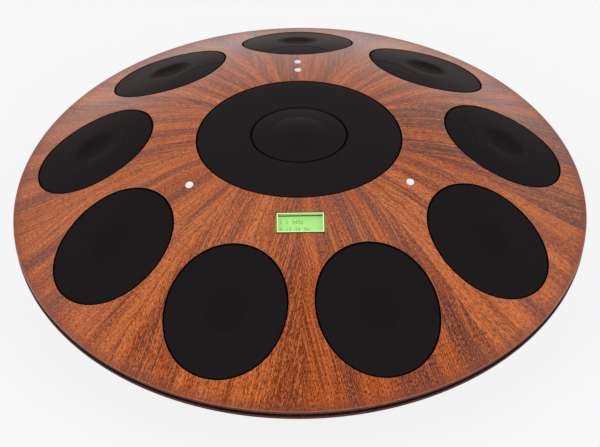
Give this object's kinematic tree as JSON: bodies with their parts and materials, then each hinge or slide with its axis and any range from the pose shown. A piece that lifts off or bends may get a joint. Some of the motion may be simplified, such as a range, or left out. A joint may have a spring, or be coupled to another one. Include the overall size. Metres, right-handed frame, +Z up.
{
  "type": "electronic handpan",
  "caption": "Dome-shaped electronic hand percussion instrument: veneered wooden pan with rubber strike pads round an oval centre pad, a lit display and push buttons.",
  "frame": {"origin": "on the floor under the middle of the pan, at the level of the feet", "axes": "+Z up along the pan's axis, -Y towards the player and the display, +X to the player's right"},
  "size_m": [0.52, 0.52, 0.1527],
  "materials": {
    "top_wood": "satin lacquered veneer",
    "lower_wood": "satin lacquered, darker",
    "pad_rubber": "satin charcoal",
    "gasket_rubber": "matt black",
    "foot_rubber": "matt black",
    "foam": "open-cell foam",
    "deck_plastic": "moulded grey",
    "sensor_brass": "plain",
    "window_clear": "clear",
    "frame_plastic": "pale yellow-green",
    "module_green": "lit green",
    "button_white": "white",
    "board_green": "circuit board green",
    "battery_wrap": "shrink wrap",
    "speaker_black": "black",
    "grille_metal": "black powder coat",
    "bay_plastic": "black",
    "socket_plastic": "black",
    "socket_steel": "plain",
    "rocker_plastic": "black"
  },
  "bodies": {
    "body": {"battery_pack": "battery_wrap", "bottom_shell": "lower_wood", "centre_foam": "foam", "centre_sensor": "sensor_brass", "connector_bay": "bay_plastic", "display_frame": "frame_plastic", "display_module": "module_green", "display_window": "window_clear", "foot_1": "foot_rubber", "foot_2": "foot_rubber", "foot_3": "foot_rubber", "foot_4": "foot_rubber", "main_board": "board_green", "pad_foam_1": "foam", "pad_foam_2": "foam", "pad_foam_3": "foam", "pad_foam_4": "foam", "pad_foam_5": "foam", "pad_foam_6": "foam", "pad_foam_7": "foam", "pad_foam_8": "foam", "pad_foam_9": "foam", "pad_sensor_1": "sensor_brass", "pad_sensor_2": "sensor_brass", "pad_sensor_3": "sensor_brass", "pad_sensor_4": "sensor_brass", "pad_sensor_5": "sensor_brass", "pad_sensor_6": "sensor_brass", "pad_sensor_7": "sensor_brass", "pad_sensor_8": "sensor_brass", "pad_sensor_9": "sensor_brass", "phones_socket": "socket_plastic", "rim_gasket": "gasket_rubber", "ring_foam": "foam", "sensor_deck": "deck_plastic", "speaker_grille_left": "grille_metal", "speaker_grille_right": "grille_metal", "speaker_left": "speaker_black", "speaker_right": "speaker_black", "switch_board_back": "board_green", "switch_board_left": "board_green", "switch_board_right": "board_green", "top_shell": "top_wood", "usb_socket": "socket_steel"},
    "tone_pad_1": {"tone_pad_1": "pad_rubber"},
    "tone_pad_2": {"tone_pad_2": "pad_rubber"},
    "tone_pad_3": {"tone_pad_3": "pad_rubber"},
    "tone_pad_4": {"tone_pad_4": "pad_rubber"},
    "tone_pad_5": {"tone_pad_5": "pad_rubber"},
    "tone_pad_6": {"tone_pad_6": "pad_rubber"},
    "tone_pad_7": {"tone_pad_7": "pad_rubber"},
    "tone_pad_8": {"tone_pad_8": "pad_rubber"},
    "tone_pad_9": {"tone_pad_9": "pad_rubber"},
    "ring_pad": {"ring_pad": "pad_rubber"},
    "centre_pad": {"centre_pad": "pad_rubber"},
    "button_left": {"button_left": "button_white"},
    "button_right": {"button_right": "button_white"},
    "button_back_inner": {"button_back_inner": "button_white"},
    "button_back_outer": {"button_back_outer": "button_white"},
    "power_switch": {"power_switch": "rocker_plastic"}
  },
  "joints": [
    {"name": "tone_pad_1_strike", "type": "slide", "parent": "body", "child": "tone_pad_1", "axis": [0, -0.4893, -0.8721], "range_m": [0, 0.0008], "stiffness_N_per_m": 6000, "springref_m": -0.0004, "deforming": ["pad_foam_1"]},
    {"name": "tone_pad_2_strike", "type": "slide", "parent": "body", "child": "tone_pad_2", "axis": [0.3145, -0.3748, -0.8721], "range_m": [0, 0.0008], "stiffness_N_per_m": 6000, "springref_m": -0.0004, "deforming": ["pad_foam_2"]},
    {"name": "tone_pad_3_strike", "type": "slide", "parent": "body", "child": "tone_pad_3", "axis": [0.4819, -0.085, -0.8721], "range_m": [0, 0.0008], "stiffness_N_per_m": 6000, "springref_m": -0.0004, "deforming": ["pad_foam_3"]},
    {"name": "tone_pad_4_strike", "type": "slide", "parent": "body", "child": "tone_pad_4", "axis": [0.4237, 0.2446, -0.8721], "range_m": [0, 0.0008], "stiffness_N_per_m": 6000, "springref_m": -0.0004, "deforming": ["pad_foam_4"]},
    {"name": "tone_pad_5_strike", "type": "slide", "parent": "body", "child": "tone_pad_5", "axis": [0.1673, 0.4598, -0.8721], "range_m": [0, 0.0008], "stiffness_N_per_m": 6000, "springref_m": -0.0004, "deforming": ["pad_foam_5"]},
    {"name": "tone_pad_6_strike", "type": "slide", "parent": "body", "child": "tone_pad_6", "axis": [-0.1673, 0.4598, -0.8721], "range_m": [0, 0.0008], "stiffness_N_per_m": 6000, "springref_m": -0.0004, "deforming": ["pad_foam_6"]},
    {"name": "tone_pad_7_strike", "type": "slide", "parent": "body", "child": "tone_pad_7", "axis": [-0.4237, 0.2446, -0.8721], "range_m": [0, 0.0008], "stiffness_N_per_m": 6000, "springref_m": -0.0004, "deforming": ["pad_foam_7"]},
    {"name": "tone_pad_8_strike", "type": "slide", "parent": "body", "child": "tone_pad_8", "axis": [-0.4819, -0.085, -0.8721], "range_m": [0, 0.0008], "stiffness_N_per_m": 6000, "springref_m": -0.0004, "deforming": ["pad_foam_8"]},
    {"name": "tone_pad_9_strike", "type": "slide", "parent": "body", "child": "tone_pad_9", "axis": [-0.3145, -0.3748, -0.8721], "range_m": [0, 0.0008], "stiffness_N_per_m": 6000, "springref_m": -0.0004, "deforming": ["pad_foam_9"]},
    {"name": "ring_pad_strike", "type": "slide", "parent": "body", "child": "ring_pad", "axis": [0, 0, -1], "range_m": [0, 0.0008], "stiffness_N_per_m": 10000, "springref_m": -0.0004, "deforming": ["ring_foam"]},
    {"name": "centre_pad_strike", "type": "slide", "parent": "body", "child": "centre_pad", "axis": [0, 0, -1], "range_m": [0, 0.0008], "stiffness_N_per_m": 6000, "springref_m": -0.0004, "deforming": ["centre_foam"]},
    {"name": "button_left_press", "type": "slide", "parent": "body", "child": "button_left", "axis": [0.1988, 0.1148, -0.9733], "range_m": [0, 0.0005], "stiffness_N_per_m": 1500, "springref_m": -0.0003},
    {"name": "button_right_press", "type": "slide", "parent": "body", "child": "button_right", "axis": [-0.1988, 0.1148, -0.9733], "range_m": [0, 0.0005], "stiffness_N_per_m": 1500, "springref_m": -0.0003},
    {"name": "button_back_inner_press", "type": "slide", "parent": "body", "child": "button_back_inner", "axis": [0, -0.2182, -0.9759], "range_m": [0, 0.0005], "stiffness_N_per_m": 1500, "springref_m": -0.0003},
    {"name": "button_back_outer_press", "type": "slide", "parent": "body", "child": "button_back_outer", "axis": [0, -0.2182, -0.9759], "range_m": [0, 0.0005], "stiffness_N_per_m": 1500, "springref_m": -0.0003},
    {"name": "power_switch_rock", "type": "hinge", "parent": "body", "child": "power_switch", "pos_m": [0.026, 0.2055, 0.03399], "axis": [1, 0, 0], "range_deg": [0, 14]}
  ]
}
